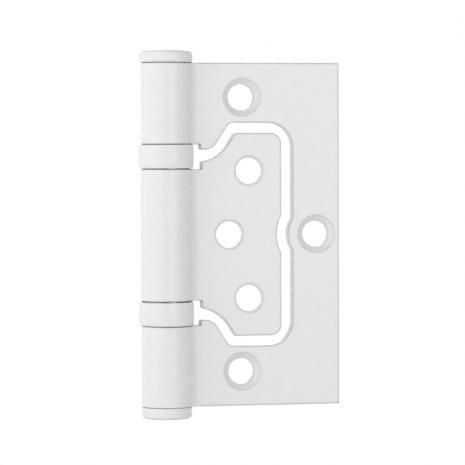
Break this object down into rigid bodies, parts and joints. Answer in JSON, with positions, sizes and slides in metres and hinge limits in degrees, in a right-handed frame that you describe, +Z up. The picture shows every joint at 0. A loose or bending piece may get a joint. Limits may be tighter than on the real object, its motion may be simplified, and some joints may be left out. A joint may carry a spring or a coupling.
{
  "type": "non-mortise hinge",
  "caption": "Closed flush butt hinge: a small leaf nested in the cut-out of a large leaf, on a pin through knuckles and ball-bearing rings, with countersunk screw holes.",
  "frame": {"origin": "midway between the outer leaf's two end screw holes, on the leaf's back face, which lies against the frame", "axes": "+Z up along the hinge pin towards its head, +X from the barrel to the outer leaf's free edge, +Y out of the outer leaf's back face into the frame"},
  "size_m": [0.0444, 0.0119, 0.0801],
  "materials": {
    "white_paint": "satin powder coat",
    "bearing_steel": "polished",
    "cage_brass": "stamped"
  },
  "bodies": {
    "frame_side": {"outer_leaf": "white_paint", "hinge_pin": "white_paint", "bottom_cap": "white_paint", "upper_bearing_shell": "white_paint", "upper_fixed_race": "bearing_steel", "lower_bearing_shell": "white_paint", "lower_fixed_race": "bearing_steel"},
    "door_side": {"inner_leaf": "white_paint", "upper_turning_race": "bearing_steel", "lower_turning_race": "bearing_steel"},
    "upper_cage": {"upper_ball_cage": "cage_brass"},
    "upper_rolling_ball_1": {"upper_ball_1": "bearing_steel"},
    "upper_rolling_ball_2": {"upper_ball_2": "bearing_steel"},
    "upper_rolling_ball_3": {"upper_ball_3": "bearing_steel"},
    "upper_rolling_ball_4": {"upper_ball_4": "bearing_steel"},
    "upper_rolling_ball_5": {"upper_ball_5": "bearing_steel"},
    "upper_rolling_ball_6": {"upper_ball_6": "bearing_steel"},
    "upper_rolling_ball_7": {"upper_ball_7": "bearing_steel"},
    "upper_rolling_ball_8": {"upper_ball_8": "bearing_steel"},
    "lower_cage": {"lower_ball_cage": "cage_brass"},
    "lower_rolling_ball_1": {"lower_ball_1": "bearing_steel"},
    "lower_rolling_ball_2": {"lower_ball_2": "bearing_steel"},
    "lower_rolling_ball_3": {"lower_ball_3": "bearing_steel"},
    "lower_rolling_ball_4": {"lower_ball_4": "bearing_steel"},
    "lower_rolling_ball_5": {"lower_ball_5": "bearing_steel"},
    "lower_rolling_ball_6": {"lower_ball_6": "bearing_steel"},
    "lower_rolling_ball_7": {"lower_ball_7": "bearing_steel"},
    "lower_rolling_ball_8": {"lower_ball_8": "bearing_steel"}
  },
  "joints": [
    {"name": "leaf_turn", "type": "hinge", "parent": "frame_side", "child": "door_side", "pos_m": [-0.0166, -0.00125, 0], "axis": [0, 0, -1], "continuous": true},
    {"name": "upper_cage_turn", "type": "hinge", "parent": "frame_side", "child": "upper_cage", "pos_m": [-0.0166, -0.00125, 0.01675], "axis": [0, 0, -1], "continuous": true},
    {"name": "upper_ball_1_spin", "type": "hinge", "parent": "upper_cage", "child": "upper_rolling_ball_1", "pos_m": [-0.01245, -0.00125, 0.01675], "axis": [-1, 0, 0], "continuous": true},
    {"name": "upper_ball_2_spin", "type": "hinge", "parent": "upper_cage", "child": "upper_rolling_ball_2", "pos_m": [-0.01367, 0.00168, 0.01675], "axis": [-0.7071, -0.7071, 0], "continuous": true},
    {"name": "upper_ball_3_spin", "type": "hinge", "parent": "upper_cage", "child": "upper_rolling_ball_3", "pos_m": [-0.0166, 0.0029, 0.01675], "axis": [0, -1, 0], "continuous": true},
    {"name": "upper_ball_4_spin", "type": "hinge", "parent": "upper_cage", "child": "upper_rolling_ball_4", "pos_m": [-0.01953, 0.00168, 0.01675], "axis": [0.7071, -0.7071, 0], "continuous": true},
    {"name": "upper_ball_5_spin", "type": "hinge", "parent": "upper_cage", "child": "upper_rolling_ball_5", "pos_m": [-0.02075, -0.00125, 0.01675], "axis": [1, 0, 0], "continuous": true},
    {"name": "upper_ball_6_spin", "type": "hinge", "parent": "upper_cage", "child": "upper_rolling_ball_6", "pos_m": [-0.01953, -0.00418, 0.01675], "axis": [0.7071, 0.7071, 0], "continuous": true},
    {"name": "upper_ball_7_spin", "type": "hinge", "parent": "upper_cage", "child": "upper_rolling_ball_7", "pos_m": [-0.0166, -0.0054, 0.01675], "axis": [0, 1, 0], "continuous": true},
    {"name": "upper_ball_8_spin", "type": "hinge", "parent": "upper_cage", "child": "upper_rolling_ball_8", "pos_m": [-0.01367, -0.00418, 0.01675], "axis": [-0.7071, 0.7071, 0], "continuous": true},
    {"name": "lower_cage_turn", "type": "hinge", "parent": "frame_side", "child": "lower_cage", "pos_m": [-0.0166, -0.00125, -0.01675], "axis": [0, 0, -1], "continuous": true},
    {"name": "lower_ball_1_spin", "type": "hinge", "parent": "lower_cage", "child": "lower_rolling_ball_1", "pos_m": [-0.01245, -0.00125, -0.01675], "axis": [1, 0, 0], "continuous": true},
    {"name": "lower_ball_2_spin", "type": "hinge", "parent": "lower_cage", "child": "lower_rolling_ball_2", "pos_m": [-0.01367, 0.00168, -0.01675], "axis": [0.7071, 0.7071, 0], "continuous": true},
    {"name": "lower_ball_3_spin", "type": "hinge", "parent": "lower_cage", "child": "lower_rolling_ball_3", "pos_m": [-0.0166, 0.0029, -0.01675], "axis": [0, 1, 0], "continuous": true},
    {"name": "lower_ball_4_spin", "type": "hinge", "parent": "lower_cage", "child": "lower_rolling_ball_4", "pos_m": [-0.01953, 0.00168, -0.01675], "axis": [-0.7071, 0.7071, 0], "continuous": true},
    {"name": "lower_ball_5_spin", "type": "hinge", "parent": "lower_cage", "child": "lower_rolling_ball_5", "pos_m": [-0.02075, -0.00125, -0.01675], "axis": [-1, 0, 0], "continuous": true},
    {"name": "lower_ball_6_spin", "type": "hinge", "parent": "lower_cage", "child": "lower_rolling_ball_6", "pos_m": [-0.01953, -0.00418, -0.01675], "axis": [-0.7071, -0.7071, 0], "continuous": true},
    {"name": "lower_ball_7_spin", "type": "hinge", "parent": "lower_cage", "child": "lower_rolling_ball_7", "pos_m": [-0.0166, -0.0054, -0.01675], "axis": [0, -1, 0], "continuous": true},
    {"name": "lower_ball_8_spin", "type": "hinge", "parent": "lower_cage", "child": "lower_rolling_ball_8", "pos_m": [-0.01367, -0.00418, -0.01675], "axis": [0.7071, -0.7071, 0], "continuous": true}
  ],
  "couplings": [
    {"joint": "upper_cage_turn", "follows": "leaf_turn", "ratio": 0.5},
    {"joint": "upper_ball_1_spin", "follows": "leaf_turn", "ratio": 2.7667},
    {"joint": "upper_ball_2_spin", "follows": "leaf_turn", "ratio": 2.7667},
    {"joint": "upper_ball_3_spin", "follows": "leaf_turn", "ratio": 2.7667},
    {"joint": "upper_ball_4_spin", "follows": "leaf_turn", "ratio": 2.7667},
    {"joint": "upper_ball_5_spin", "follows": "leaf_turn", "ratio": 2.7667},
    {"joint": "upper_ball_6_spin", "follows": "leaf_turn", "ratio": 2.7667},
    {"joint": "upper_ball_7_spin", "follows": "leaf_turn", "ratio": 2.7667},
    {"joint": "upper_ball_8_spin", "follows": "leaf_turn", "ratio": 2.7667},
    {"joint": "lower_cage_turn", "follows": "leaf_turn", "ratio": 0.5},
    {"joint": "lower_ball_1_spin", "follows": "leaf_turn", "ratio": 2.7667},
    {"joint": "lower_ball_2_spin", "follows": "leaf_turn", "ratio": 2.7667},
    {"joint": "lower_ball_3_spin", "follows": "leaf_turn", "ratio": 2.7667},
    {"joint": "lower_ball_4_spin", "follows": "leaf_turn", "ratio": 2.7667},
    {"joint": "lower_ball_5_spin", "follows": "leaf_turn", "ratio": 2.7667},
    {"joint": "lower_ball_6_spin", "follows": "leaf_turn", "ratio": 2.7667},
    {"joint": "lower_ball_7_spin", "follows": "leaf_turn", "ratio": 2.7667},
    {"joint": "lower_ball_8_spin", "follows": "leaf_turn", "ratio": 2.7667}
  ]
}
